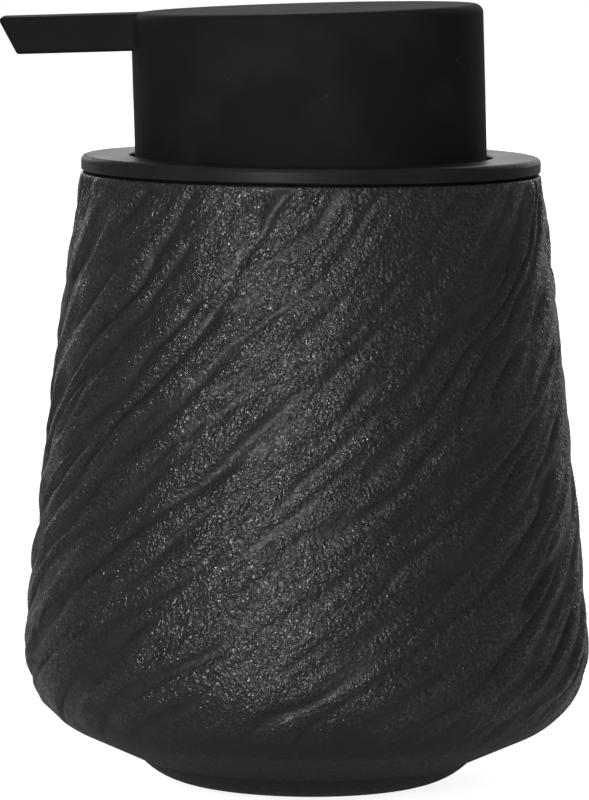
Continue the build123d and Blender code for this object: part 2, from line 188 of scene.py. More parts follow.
# %% Soft panels
MIDDLE = Vector((0, 0, 60 * MM))
PANELS = {
    "key_panel": {"watts": 12.4, "wide": 0.15, "tall": 0.6, "stands": (-0.44, -1.27, 0.32)},
    "back_panel": {"watts": 22.0, "wide": 3.0, "tall": 1.6, "stands": (0, 2.0, 0.9)},
    "top_panel": {"watts": 3.0, "wide": 0.8, "tall": 0.5, "stands": (-0.2, -0.35, 1.3)},
}
for name, size in PANELS.items():
    light = bpy.data.lights.new(name, "AREA")
    light.shape = "RECTANGLE"
    light.energy = size["watts"]
    light.size = size["wide"]
    light.size_y = size["tall"]
    panel = bpy.data.objects.new(name, light)
    panel.location = size["stands"]
    panel.rotation_euler = (MIDDLE - Vector(size["stands"])).to_track_quat("-Z", "Y").to_euler()
    panel.visible_camera = False
    scene.collection.objects.link(panel)
    print(name, "gives", size["watts"], "W")

# %% Room
ROOM_LIGHT = 0.2
ROOM_IN_VIEW = 1.0

room = bpy.data.worlds.new("room")
room.use_nodes = True
scene.world = room
tree = room.node_tree
ray = add(tree, "ShaderNodeLightPath").outputs
dim = tree.nodes["Background"]
dim.inputs["Color"].default_value = WHITE
dim.inputs["Strength"].default_value = ROOM_LIGHT
plain = add(tree, "ShaderNodeBackground", {"Color": WHITE, "Strength": ROOM_IN_VIEW})
seen = add(tree, "ShaderNodeMixShader", {0: ray["Is Camera Ray"], 1: dim, 2: plain})
tree.links.new(seen.outputs[0], tree.nodes["World Output"].inputs["Surface"])
print("room light:", ROOM_LIGHT)

# %% [markdown]
# ## The pot's outline
#
# A potter's mould for this shape is turned on a lathe, so the smooth form is a surface of
# revolution. Its outline is a few arcs: a round shoulder under the belly, a soft bend above it,
# and a long side that is almost a straight cone. It could be drawn by hand as a curve, but
# numbers keep it exact. They repeat the engineering model's sizes, and the widest point, the rim's
# height, the foot's base and its recess come straight from that model's boxes.

# %% Sizes of the pot
pot_low, pot_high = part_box("container")
pad_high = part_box("base_pad")[1]
BELLY_RADIUS = pot_high.x
BELLY_HEIGHT = 22.0 * MM
RIM_RADIUS = 37.4 * MM
RIM_HEIGHT = pot_high.z
WALL = 5.0 * MM
print("belly radius:", round(BELLY_RADIUS, 5), "rim height:", round(RIM_HEIGHT, 5))

# %% Side of the pot
# SHOULDER_SWEEP is in degrees. SIDE_START is how much of the side's mean slope the bend has turned
# when the side begins. The two lengths are rough, and only share out the points.
SHOULDER_RADIUS = 14.4 * MM
SHOULDER_SWEEP = 65.6
SHOULDER_LENGTH = 16 * MM
SIDE_BEND_RADIUS = 80.0 * MM
SIDE_BEND_LENGTH = 8 * MM
SIDE_START = 0.866
RIM_ROUND = 0.4 * MM
RIM_LIP = 0.3 * MM
OUTER_STEP = 0.6 * MM
INNER_STEP = 6.0 * MM


def arc(centre_radius, centre_height, size, start, end, count):
    """Points (radius, height) along an arc; angles in degrees."""
    angles = np.radians(np.linspace(start, end, count))
    return [(centre_radius + size * math.cos(a), centre_height + size * math.sin(a)) for a in angles]


def bowed(start, end, bow, count):
    """Points along a shallow arc between two points, bowed to the right of its direction."""
    along = np.subtract(end, start)
    out = np.array([along[1], -along[0]]) / np.hypot(*along)
    return [tuple(start + along * t + out * 4 * bow * t * (1 - t)) for t in np.linspace(0, 1, count)]


def side_outline(inset, step):
    """The side from the underside up to just under the rim, moved inwards by inset."""
    slope = math.degrees(math.atan2(BELLY_RADIUS - RIM_RADIUS, RIM_HEIGHT - BELLY_HEIGHT))
    sweep = SIDE_START * slope
    shoulder = arc(BELLY_RADIUS - SHOULDER_RADIUS, BELLY_HEIGHT, SHOULDER_RADIUS - inset,
                   -SHOULDER_SWEEP, 0, round(SHOULDER_LENGTH / step))
    bend = arc(BELLY_RADIUS - SIDE_BEND_RADIUS, BELLY_HEIGHT, SIDE_BEND_RADIUS - inset,
               0, sweep, round(SIDE_BEND_LENGTH / step))
    top = (RIM_RADIUS - inset, RIM_HEIGHT + RIM_LIP - RIM_ROUND)
    chord = math.dist(bend[-1], top)
    turn = math.atan2(bend[-1][0] - top[0], top[1] - bend[-1][1]) - math.radians(sweep)
    bow = chord / 2 * math.tan(turn / 2)
    side = bowed(bend[-1], top, bow, round(chord / step))
    return shoulder + bend[1:] + side[1:]


outer = side_outline(0, OUTER_STEP)
inner = side_outline(WALL, INNER_STEP)
print("outer side:", len(outer), "points, inner side:", len(inner))

# %% [markdown]
# The rim's outer edge stands a hair higher than the flat of the rim, as a cast edge does where the
# mould parted, and the seal lies inside it. The foot's edge is a real corner, but smooth shading
# would blur it. It could be marked as sharp, which splits the shading there. A row of points close
# to the corner on each side keeps it crisp and needs no marking, so that was chosen.

# %% Rim
RIM_LIP_WIDTH = 0.8 * MM
ROUND_POINTS = 5

rim_inside = arc(RIM_RADIUS - WALL + RIM_ROUND, RIM_HEIGHT - RIM_ROUND, RIM_ROUND,
                 180, 90, ROUND_POINTS)
rim_outside = arc(RIM_RADIUS - RIM_ROUND, RIM_HEIGHT + RIM_LIP - RIM_ROUND, RIM_ROUND,
                  90, 0, ROUND_POINTS)
lip_start = (RIM_RADIUS - RIM_LIP_WIDTH, RIM_HEIGHT)
rim_rows = rim_inside[1:] + [lip_start] + rim_outside[:-1]
print("rim:", len(rim_rows), "points")

# %% Underside and foot
# The rows that guard the edge are the last but one of many points before it and the second of many
# after it, so they lie a fraction of a millimetre away.
FOOT_HEIGHT = 4.2 * MM
FOOT_BASE_HEIGHT = pot_low.z
FOOT_BASE_RADIUS = 19.5 * MM
FOOT_CROWN = 0.8 * MM
UNDERSIDE_POINTS = 8
FOOT_POINTS = 10
POINTS_BEFORE_EDGE = 60
POINTS_AFTER_EDGE = 40


def underside_radius(point, height):
    """Where the straight underside, tangent to the shoulder, is at a height."""
    return point[0] - (point[1] - height) / math.tan(math.radians(90 - SHOULDER_SWEEP))


foot_edge = (underside_radius(outer[0], FOOT_HEIGHT), FOOT_HEIGHT)
foot_base = (FOOT_BASE_RADIUS, FOOT_BASE_HEIGHT)
underside = bowed(outer[0], foot_edge, 0, UNDERSIDE_POINTS)
foot = bowed(foot_edge, foot_base, -FOOT_CROWN, FOOT_POINTS)
before_edge = bowed(outer[0], foot_edge, 0, POINTS_BEFORE_EDGE)[-2]
after_edge = bowed(foot_edge, foot_base, -FOOT_CROWN, POINTS_AFTER_EDGE)[1]
underside_rows = underside[1:-1] + [before_edge, foot_edge, after_edge] + foot[1:]
print("underside and foot:", len(underside_rows), "points")

# %% Whole outline
FLOOR_HEIGHT = 8.0 * MM
PAD_TOP = pad_high.z
PAD_CLEARANCE = 0.2 * MM
RECESS_RADIUS = pad_high.x + PAD_CLEARANCE

floor_edge = (underside_radius(inner[0], FLOOR_HEIGHT), FLOOR_HEIGHT)
inside_rows = [(0, FLOOR_HEIGHT), (floor_edge[0] / 2, FLOOR_HEIGHT), floor_edge] + inner
recess_rows = [(RECESS_RADIUS, FOOT_BASE_HEIGHT), (RECESS_RADIUS, PAD_TOP)]
recess_rows += [(RECESS_RADIUS / 2, PAD_TOP), (0, PAD_TOP)]
outline = inside_rows + rim_rows + outer[::-1] + underside_rows + recess_rows
first_outside = len(inside_rows) + len(rim_inside)
print("outline points:", len(outline))

# %% [markdown]
# ## From outline to a smooth pot
#
# The Spin tool would do this, but building the grid of points directly keeps control over how
# fine it is and leaves one clean pole at each end. Each point also gets three numbers that the
# next steps read: how strongly the wall is creased there, how much clay grain shows, and whether
# the point belongs to the inside.

# %% Where the wall is creased
CREASE_START = 9.0 * MM
CREASE_FULL = 16.0 * MM
RIM_FADE = 0.9 * MM


def smooth_step(value):
    """A soft step: 0 below 0, 1 above 1, and an S-shaped rise between."""
    value = min(max(value, 0.0), 1.0)
    return value * value * (3 - 2 * value)


def grain_strength(row):
    """How much of the clay's grain a row of the outline shows: none inside and under the belly."""
    if row < first_outside:
        return 0.0
    return smooth_step((outline[row][1] - CREASE_START) / (CREASE_FULL - CREASE_START))


def crease_strength(row):
    """How strongly a row is creased: as the grain, but the creases also fade out at the rim."""
    return grain_strength(row) * smooth_step((RIM_HEIGHT - outline[row][1]) / RIM_FADE)


print("creased rows:", sum(crease_strength(row) > 0 for row in range(len(outline))))

# %% Points and faces
COLUMNS = 420

turns = np.linspace(0, 2 * math.pi, COLUMNS, endpoint=False)
points = [(0.0, 0.0, outline[0][1])]
for radius, height in outline[1:-1]:
    points += [(radius * math.cos(t), radius * math.sin(t), height) for t in turns]
points.append((0.0, 0.0, outline[-1][1]))

faces = []
bands = len(outline) - 3
for column in range(COLUMNS):
    following = (column + 1) % COLUMNS
    faces.append((0, 1 + column, 1 + following))
    for band in range(bands):
        upper = 1 + band * COLUMNS
        lower = upper + COLUMNS
        faces.append((upper + column, lower + column, lower + following, upper + following))
    last = 1 + bands * COLUMNS
    faces.append((last + column, len(points) - 1, last + following))
print("pot:", len(points), "points,", len(faces), "faces")

# %% Smooth pot with its three sets of numbers
pot_mesh = bpy.data.meshes.new("pot")
pot_mesh.from_pydata(points, [], faces)
rows = [0] + [row for row in range(1, len(outline) - 1) for _ in turns] + [len(outline) - 1]
POINT_NUMBERS = {
    "creased": [crease_strength(row) for row in rows],
    "grained": [grain_strength(row) for row in rows],
    "inside": [float(row < len(inside_rows)) for row in rows],
}
for name, values in POINT_NUMBERS.items():
    pot_mesh.attributes.new(name, "FLOAT", "POINT").data.foreach_set("value", values)
smooth_pot = bpy.data.objects.new("smooth_pot", pot_mesh)
scene.collection.objects.link(smooth_pot)
print("numbers on each point:", list(POINT_NUMBERS))

# %% [markdown]
# ## Black stoneware
#
# The pot is stoneware cast in a creased mould and fired with a thin matt black glaze. The clay is
# coarse, so wherever the surface swells it is covered in fine flecks that glint one by one, while
# the creases between are quieter, and darker as painted shade. The flecks' lighter grey is partly
# the grains' own tone and partly a painted glint. A painted image could show that, but it would have
# to be painted all round. Here the material reads how high the surface stands from the pot's own
# "relief" numbers, which the crease step stores, so the flecks follow the real creases.

# %% Stoneware: where the clay swells
# Black stoneware, slip-cast and fired under a thin matt glaze. The glaze runs off the swellings
# and bares coarse clay grains there, so they sparkle, and it gathers in the creases, which stay
# dull; their darker colour is painted shade. SWELLING turns relief into a strength, from the
# bottom of a crease to the crests.
STONEWARE_IOR = 1.5
SWELLING = {"From Min": 0.3, "From Max": 0.92, "To Min": 0.34, "To Max": 1.0}

stoneware, tree, shader = new_material("black_stoneware_matt_glaze", IOR=STONEWARE_IOR)
place = add(tree, "ShaderNodeTexCoord").outputs["Object"]
relief = add(tree, "ShaderNodeAttribute", attribute_name="relief").outputs["Fac"]
swelling = add(tree, "ShaderNodeMapRange", {"Value": relief, **SWELLING},
               interpolation_type="SMOOTHSTEP")
print("stoneware:", stoneware.name)

# %% Stoneware: lumps and grains
# Clay lumps are a few millimetres wide. The coarse sand in such a clay is 0.3 to 0.6 mm.
LUMP_SIZE = 2.4 * MM
LUMP_HEIGHT = 0.4 * MM
GRAIN_SIZE = 0.55 * MM
GRAIN_HEIGHT = 0.35 * MM

lumps = add(tree, "ShaderNodeTexNoise",
            {"Vector": place, "Scale": 1 / LUMP_SIZE, "Detail": 2.0, "Roughness": 0.6})
lumpy = add(tree, "ShaderNodeBump", {"Height": lumps, "Strength": swelling, "Distance": LUMP_HEIGHT})
grain = add(tree, "ShaderNodeTexNoise", {"Vector": place, "Scale": 1 / GRAIN_SIZE, "Detail": 1.0})
grainy = add(tree, "ShaderNodeBump",
             {"Height": grain, "Strength": swelling, "Distance": GRAIN_HEIGHT, "Normal": lumpy})
print("lumps per cm:", round(10 * MM / LUMP_SIZE, 1), "grains per cm:", round(10 * MM / GRAIN_SIZE, 1))

# %% Stoneware: facets
# Each sand grain has one flat face that leans its own way, so it flashes only where that face
# mirrors a panel. Cells stand for the grains: a cell's random colour, less its middle value, leans
# the surface.
FACET_SIZE = 0.38 * MM
FACET_LEAN = 0.34
MIDDLE_VALUE = (0.5, 0.5, 0.5)

cells = add(tree, "ShaderNodeTexVoronoi", {"Vector": place, "Scale": 1 / FACET_SIZE})
cell_colour = cells.outputs["Color"]
cell_value = add(tree, "ShaderNodeSeparateColor", {"Color": cell_colour})
either_way = add(tree, "ShaderNodeVectorMath", {0: cell_colour, 1: MIDDLE_VALUE}, operation="SUBTRACT")
how_far = add(tree, "ShaderNodeMath", {0: swelling, 1: FACET_LEAN}, operation="MULTIPLY")
lean = add(tree, "ShaderNodeVectorMath", {0: either_way, "Scale": how_far}, operation="SCALE")
leaning = add(tree, "ShaderNodeVectorMath", {0: grainy, 1: lean}, operation="ADD")
facet = add(tree, "ShaderNodeVectorMath", {0: leaning}, operation="NORMALIZE")
tree.links.new(facet.outputs[0], shader.inputs["Normal"])
print("facets per cm:", round(10 * MM / FACET_SIZE, 1))

# %% Stoneware: colour and gloss
# Painted shade: the colour darkens where the relief is low, in the creases, and also under the belly and
# on the rim's inner edge, where no grain shows.
CREASE_SHADE_BLACK = "#101011"
SWELLING_BLACK = "#19191b"
FLECK_AND_GLINT_GREY = "#2e2e30"
FLECK_FROM = 0.8
DULL_ROUGHNESS = 0.6
GLINT_ROUGHNESS = 0.1

# Painted glint: the flecks' lighter grey is partly the grains' own tone and partly stands in for their
# glints.
fleck_and_glint = add(tree, "ShaderNodeMapRange", {"Value": cell_value, "From Min": FLECK_FROM, "From Max": 1.0})
fleck_and_glint_here = add(tree, "ShaderNodeMath", {0: fleck_and_glint, 1: swelling}, operation="MULTIPLY")
body = add(tree, "ShaderNodeMix",
           {"Factor": swelling, "A": linear(CREASE_SHADE_BLACK), "B": linear(SWELLING_BLACK)},
           data_type="RGBA")
clay = add(tree, "ShaderNodeMix",
           {"Factor": fleck_and_glint_here, "A": body, "B": linear(FLECK_AND_GLINT_GREY)}, data_type="RGBA")
tree.links.new(clay.outputs["Result"], shader.inputs["Base Color"])
shiny = add(tree, "ShaderNodeMath", {0: cell_value, 1: swelling}, operation="MULTIPLY")
rough = add(tree, "ShaderNodeMapRange",
            {"Value": shiny, "To Min": DULL_ROUGHNESS, "To Max": GLINT_ROUGHNESS})
tree.links.new(rough.outputs[0], shader.inputs["Roughness"])
print("stoneware nodes:", len(tree.nodes))

# %% Inner glaze
# Black gloss glaze, poured into the pot, drained and fired. It melts into a smooth glassy skin
# with slow ripples, so the inside shows clear reflections that bend a little.
GLAZE_BLACK = "#161618"
GLAZE_ROUGHNESS = 0.16
GLAZE_IOR = 1.52
RIPPLE_SIZE = 6 * MM
RIPPLE_HEIGHT = 0.3 * MM
RIPPLE_STRENGTH = 0.2

glaze, tree, shader = new_material("black_inner_glaze", Base_Color=linear(GLAZE_BLACK),
                                   Roughness=GLAZE_ROUGHNESS, IOR=GLAZE_IOR)
place = add(tree, "ShaderNodeTexCoord").outputs["Object"]
ripple = add(tree, "ShaderNodeTexNoise", {"Vector": place, "Scale": 1 / RIPPLE_SIZE, "Detail": 1.0})
bump = add(tree, "ShaderNodeBump",
           {"Height": ripple, "Strength": RIPPLE_STRENGTH, "Distance": RIPPLE_HEIGHT})
tree.links.new(bump.outputs["Normal"], shader.inputs["Normal"])
print("inner glaze:", glaze.name)

# %% [markdown]
# ## The creases
#
# The creases run up the pot to the right, like bark or slate, and never repeat. They could be
# sculpted, but they follow a rule, so Geometry Nodes make them. Start with a fluted column: a
# fixed number of grooves round the axis, so the pattern closes on itself. Wring the column, so
# the grooves lean over. Then push each groove sideways with long streaks of noise, and let a
# second noise make some creases deep while others fade out. A second, denser set of grooves,
# wrung a little less, crosses the first at a small angle and breaks it up.


# %% Crease tree and its inputs
def new_tree(name, inputs):
    """A Geometry Nodes tree with named inputs; returns it and the sockets that bring them in."""
    tree = bpy.data.node_groups.new(name, "GeometryNodeTree")
    for label, kind in inputs.items():
        tree.interface.new_socket(label, in_out="INPUT", socket_type="NodeSocket" + kind)
    tree.interface.new_socket("Geometry", in_out="OUTPUT", socket_type="NodeSocketGeometry")
    return tree, add(tree, "NodeGroupInput").outputs


SIZES = ["Crease Depth", "Crease Count", "Fine Count", "Twist Low", "Twist Change", "Fine Untwist",
         "Wander", "Streak Width", "Streak Squeeze", "Skew", "Seed"]
CREASE_INPUTS = {
    "Geometry": "Geometry",
    **{size: "Float" for size in SIZES},
    "Stoneware": "Material",
    "Glaze": "Material",
}
creasing, given = new_tree("creased_wall", CREASE_INPUTS)
print("crease inputs:", list(CREASE_INPUTS))

# %% Wring the pot back to straight flutes
# Undoing the twist gives each point its angle on the fluted column and a place for the noise,
# squeezed along the axis so that the noise makes long streaks.
point = add(creasing, "GeometryNodeInputPosition")
height = add(creasing, "ShaderNodeSeparateXYZ", {0: point}).outputs["Z"]
rate = add(creasing, "ShaderNodeMath", {0: height, 1: given["Twist Change"], 2: given["Twist Low"]},
           operation="MULTIPLY_ADD")
twist = add(creasing, "ShaderNodeMath", {0: rate, 1: height}, operation="MULTIPLY")
unwrung = add(creasing, "ShaderNodeVectorRotate", {"Vector": point, "Angle": twist},
              rotation_type="Z_AXIS", invert=True)
squeeze = add(creasing, "ShaderNodeCombineXYZ", {"X": 1.0, "Y": 1.0, "Z": given["Streak Squeeze"]})
streaked = add(creasing, "ShaderNodeVectorMath", {0: unwrung, 1: squeeze}, operation="MULTIPLY")
flat = add(creasing, "ShaderNodeSeparateXYZ", {0: unwrung}).outputs
angle = add(creasing, "ShaderNodeMath", {0: flat["Y"], 1: flat["X"]}, operation="ARCTAN2")
print("nodes so far:", len(creasing.nodes))


# %% Streaks and grooves
# A groove is a sine wave round the pot. GROOVE_POWER above 1 makes ridges broad and valleys narrow.
GROOVE_POWER = 1.7


def streaks(width, detail, other_seed):
    """Long streaks of noise from 0 to 1; width is in streak widths, other_seed picks the streaks."""
    seed = add(creasing, "ShaderNodeMath", {0: given["Seed"], 1: other_seed}, operation="ADD")
    own_width = add(creasing, "ShaderNodeMath", {0: given["Streak Width"], 1: width},
                    operation="MULTIPLY")
    scale = add(creasing, "ShaderNodeMath", {0: 1.0, 1: own_width}, operation="DIVIDE")
    return add(creasing, "ShaderNodeTexNoise",
               {"Vector": streaked, "W": seed, "Scale": scale, "Detail": detail}, noise_dimensions="4D")


def grooves(angle, count, streak_seed):
    """How deep in a groove each point is, from 0 on the broad ridges to 1 in the valleys."""
    streak = streaks(width=1.0, detail=2.0, other_seed=streak_seed)
    push = add(creasing, "ShaderNodeMath", {0: streak, 1: given["Wander"]}, operation="MULTIPLY")
    phase = add(creasing, "ShaderNodeMath", {0: angle, 1: count, 2: push}, operation="MULTIPLY_ADD")
    lean = add(creasing, "ShaderNodeMath", {0: phase}, operation="SINE")
    skewed = add(creasing, "ShaderNodeMath", {0: lean, 1: given["Skew"], 2: phase},
                 operation="MULTIPLY_ADD")
    wave = add(creasing, "ShaderNodeMath", {0: skewed}, operation="SINE")
    depth = add(creasing, "ShaderNodeMath", {0: wave, 1: 0.5, 2: 0.5}, operation="MULTIPLY_ADD")
    return add(creasing, "ShaderNodeMath", {0: depth, 1: GROOVE_POWER}, operation="POWER")


print("half way down a ridge a groove is", round(0.5 ** GROOVE_POWER, 2), "deep")

# %% Main grooves
# MAIN_FADE lets a groove's depth wander between a quarter and the whole.
MAIN_FADE = {"From Min": 0.36, "From Max": 0.6, "To Min": 0.25, "To Max": 1.0}

main_grooves = grooves(angle, given["Crease Count"], streak_seed=0.0)
main_fade = add(creasing, "ShaderNodeMapRange",
                {"Value": streaks(width=0.8, detail=1.0, other_seed=5.0), **MAIN_FADE},
                interpolation_type="SMOOTHSTEP")
main_cut = add(creasing, "ShaderNodeMath", {0: main_grooves, 1: main_fade}, operation="MULTIPLY")
print("nodes with the main grooves:", len(creasing.nodes))

# %% Fine grooves
# FINE_FADE lets them vanish in places, and nowhere are they deeper than six tenths.
FINE_FADE = {"From Min": 0.42, "From Max": 0.64, "To Min": 0.0, "To Max": 0.6}

fine_angle = add(creasing, "ShaderNodeMath", {0: height, 1: given["Fine Untwist"], 2: angle},
                 operation="MULTIPLY_ADD")
fine_grooves = grooves(fine_angle, given["Fine Count"], streak_seed=9.0)
fine_fade = add(creasing, "ShaderNodeMapRange",
                {"Value": streaks(width=0.6, detail=1.0, other_seed=13.0), **FINE_FADE},
                interpolation_type="SMOOTHSTEP")
fine_cut = add(creasing, "ShaderNodeMath", {0: fine_grooves, 1: fine_fade}, operation="MULTIPLY")
deepest = add(creasing, "ShaderNodeMath", {0: main_cut, 1: fine_cut}, operation="MAXIMUM")
relief = add(creasing, "ShaderNodeMath", {0: 1.0, 1: deepest}, operation="SUBTRACT")
print("nodes with the fine grooves:", len(creasing.nodes))

# %% Swellings, and how far the wall moves
# Swellings a few millimetres long rise by up to SWELL_HEIGHT crease depths. MEAN_RISE is about
# what relief and swellings add up to on average, so taking it off keeps the wall at its size.
SWELL_HEIGHT = 2.0
MEAN_RISE = 1.95

swell = streaks(width=0.4, detail=2.0, other_seed=17.0)
swollen = add(creasing, "ShaderNodeMath", {0: swell, 1: SWELL_HEIGHT, 2: relief},
              operation="MULTIPLY_ADD")
centred = add(creasing, "ShaderNodeMath", {0: swollen, 1: MEAN_RISE}, operation="SUBTRACT")
creased = add(creasing, "GeometryNodeInputNamedAttribute", {"Name": "creased"}, data_type="FLOAT")
allowed = add(creasing, "ShaderNodeMath", {0: centred, 1: creased}, operation="MULTIPLY")
rise = add(creasing, "ShaderNodeMath", {0: allowed, 1: given["Crease Depth"]}, operation="MULTIPLY")
outwards = add(creasing, "GeometryNodeInputNormal")
offset = add(creasing, "ShaderNodeVectorMath", {0: outwards, "Scale": rise}, operation="SCALE")
print("nodes with the swellings:", len(creasing.nodes))

# %% Move the wall and give it its two finishes
# The relief is stored first, because the material reads it, also to paint shade where it is low. The
# points inside get the glaze.
grained = add(creasing, "GeometryNodeInputNamedAttribute", {"Name": "grained"}, data_type="FLOAT")
relief_shown = add(creasing, "ShaderNodeMath", {0: relief, 1: grained}, operation="MULTIPLY")
marked = add(creasing, "GeometryNodeStoreNamedAttribute",
             {"Geometry": given["Geometry"], "Name": "relief", "Value": relief_shown},
             data_type="FLOAT", domain="POINT")
moved = add(creasing, "GeometryNodeSetPosition", {"Geometry": marked, "Offset": offset})
smooth = add(creasing, "GeometryNodeSetShadeSmooth", {"Geometry": moved})
real = add(creasing, "GeometryNodeRealizeInstances", {"Geometry": smooth})
fired = add(creasing, "GeometryNodeSetMaterial", {"Geometry": real, "Material": given["Stoneware"]})
inside = add(creasing, "GeometryNodeInputNamedAttribute", {"Name": "inside"}, data_type="FLOAT")
chosen = add(creasing, "FunctionNodeCompare", {0: inside, 1: 0.5},
             data_type="FLOAT", operation="GREATER_THAN")
glazed = add(creasing, "GeometryNodeSetMaterial",
             {"Geometry": fired, "Selection": chosen, "Material": given["Glaze"]})
add(creasing, "NodeGroupOutput", {0: glazed})
print("crease tree:", len(creasing.nodes), "nodes")

# %% [markdown]
# ## The creased pot
#
# The tree's inputs are plain sizes, so a potter could read them: how deep the creases are, how
# many go round, and how far the wall is wrung, in radians for each metre of height, less towards
# the rim. Wander is how far a streak pushes a groove, Skew makes one side of it steeper, and a
# Streak Squeeze below 1 stretches the streaks along the creases. The modifier could stay live, but
# a plain mesh is sure to look the same everywhere, so the tree is run once and its result kept.

# %% Crease sizes
CREASES = {
    "Crease Depth": 0.85 * MM,
    "Crease Count": 32.0,
    "Fine Count": 47.0,
    "Twist Low": 34.0,
    "Twist Change": -55.0,
    "Fine Untwist": 3.0,
    "Wander": 24.0,
    "Streak Width": 12.0 * MM,
    "Streak Squeeze": 0.5,
    "Skew": 0.5,
    "Seed": 4.0,
    "Stoneware": stoneware,
    "Glaze": glaze,
}
crease_width = 2 * math.pi * BELLY_RADIUS / CREASES["Crease Count"]
print("one crease at the belly is", round(crease_width / MM, 1), "mm wide")


# %% Make the creased pot
def bake(source, name, tree, settings):
    """Run a node tree on an object once and return the result as a plain mesh object."""
    modifier = source.modifiers.new(name, "NODES")
    modifier.node_group = tree
    for item in tree.interface.items_tree:
        if item.in_out == "INPUT" and item.name in settings:
            modifier[item.identifier] = settings[item.name]
    bpy.context.view_layer.update()
    evaluated = source.evaluated_get(bpy.context.evaluated_depsgraph_get())
    mesh = bpy.data.meshes.new_from_object(evaluated)
    mesh.name = name
    bpy.data.objects.remove(source)
    result = bpy.data.objects.new(name, mesh)
    scene.collection.objects.link(result)
    return result


pot = bake(smooth_pot, "stoneware_pot", creasing, CREASES)
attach(pot, "pot")
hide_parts("container")
print("pot:", [finish.name for finish in pot.data.materials], len(pot.data.polygons), "faces")

# %% [markdown]
# ## Moulded plastics and rubber
#
# The cap, spout and collar are black plastic from an etched mould, which leaves an even, dull
# skin. Pump parts that nobody sees are plain uncoloured polypropylene, milky where it is thin, and
# the seals are soft rubber. Nearly all of them come out of moulds, so one recipe serves, for the
# extruded tube and the cut foam too: an even colour, a fine grain, and a gloss that changes
# slowly. A flat colour would be simpler, but it looks like a drawing, not like plastic.


# %% Moulded finish
# NOISE_RANGE is where nearly all of a noise's values lie.
MOULDED_IOR = 1.5
ETCH_STRENGTH = 0.3
GLOSS_PATCH = 14 * MM
NOISE_RANGE = {"From Min": 0.3, "From Max": 0.7}
LESS_ROUGH = 0.04
MORE_ROUGH = 0.05


def moulded_finish(name, colour, roughness, grain, depth, specular=0.5):
    """A moulded surface: an even colour, a fine grain from the mould and a slow change of gloss."""
    material, tree, shader = new_material(name, Base_Color=linear(colour), Roughness=roughness,
                                          IOR=MOULDED_IOR, Specular_IOR_Level=specular)
    place = add(tree, "ShaderNodeTexCoord").outputs["Object"]
    etched = add(tree, "ShaderNodeTexNoise", {"Vector": place, "Scale": 1 / grain, "Detail": 2.0})
    bump = add(tree, "ShaderNodeBump", {"Height": etched, "Strength": ETCH_STRENGTH, "Distance": depth})
    tree.links.new(bump.outputs["Normal"], shader.inputs["Normal"])
    patches = add(tree, "ShaderNodeTexNoise", {"Vector": place, "Scale": 1 / GLOSS_PATCH, "Detail": 3.0})
    gloss = add(tree, "ShaderNodeMapRange",
                {"Value": patches, **NOISE_RANGE,
                 "To Min": roughness - LESS_ROUGH, "To Max": roughness + MORE_ROUGH})
    tree.links.new(gloss.outputs[0], shader.inputs["Roughness"])
    print("finish:", name)
    return material, tree, shader


print("gloss patches are", round(GLOSS_PATCH / MM), "mm wide")

# %% Smudges and dust
# Hands leave cloudy smudges about a centimetre wide. Dust specks lie at the centres of 7 mm cells.
# They are solid up to DUST_CORE and fade out by DUST_EDGE, both in parts of a cell.
SMUDGE_SIZE = 11 * MM
SMUDGE_FADE = {"From Min": 0.45, "From Max": 0.75}
DUST_SPACING = 7 * MM
DUST_EDGE = 0.045
DUST_CORE = 0.02


def add_marks(tree, shader, colour, smudge_colour, dust_colour):
    """Faint cloudy smudges from handling, and small pale dust specks at the centres of large cells."""
    place = add(tree, "ShaderNodeTexCoord").outputs["Object"]
    cloud = add(tree, "ShaderNodeTexNoise", {"Vector": place, "Scale": 1 / SMUDGE_SIZE, "Detail": 2.0})
    smudge = add(tree, "ShaderNodeMapRange", {"Value": cloud, **SMUDGE_FADE})
    handled = add(tree, "ShaderNodeMix",
                  {"Factor": smudge, "A": linear(colour), "B": linear(smudge_colour)}, data_type="RGBA")
    cells = add(tree, "ShaderNodeTexVoronoi", {"Vector": place, "Scale": 1 / DUST_SPACING})
    near = add(tree, "ShaderNodeMapRange",
               {"Value": cells, "From Min": DUST_EDGE, "From Max": DUST_CORE})
    dusty = add(tree, "ShaderNodeMix", {"Factor": near, "A": handled, "B": linear(dust_colour)},
                data_type="RGBA")
    tree.links.new(dusty.outputs["Result"], shader.inputs["Base Color"])


print("dust specks are up to", round(DUST_SPACING * DUST_EDGE / MM, 2), "mm in radius")

# %% Cap and collar
# Black ABS, injection moulded in a deeply etched steel mould. The pits scatter light, so the cap is
# a dull, nearly flat black. Real pits are about 0.1 mm apart, too fine to show, so they are drawn
# 0.35 mm apart.
CAP_BLACK = "#141415"
cap_plastic, tree, shader = moulded_finish("black_abs_etched_cap", CAP_BLACK, roughness=0.78,
                                           grain=0.35 * MM, depth=0.03 * MM, specular=0.12)
add_marks(tree, shader, CAP_BLACK, smudge_colour="#1d1d1e", dust_colour="#2e2e2e")

# The same ABS from a finely blasted mould. It is satin, so the collar's flat top carries a soft
# reflection of the light behind it. Its grain is also drawn coarser than the real 0.1 mm.
COLLAR_BLACK = "#1b1b1c"
collar_plastic, tree, shader = moulded_finish("black_abs_satin_collar", COLLAR_BLACK, roughness=0.42,
                                              grain=0.4 * MM, depth=0.02 * MM, specular=0.12)
add_marks(tree, shader, COLLAR_BLACK, smudge_colour="#222223", dust_colour="#363636")

# %% Hidden plastics
# Black polypropylene, moulded in a plain turned mould: a waxy half gloss with a faint orange peel.
inner_black, _, _ = moulded_finish("black_polypropylene", "#1b1b1c", roughness=0.42,
                                   grain=0.5 * MM, depth=0.03 * MM)

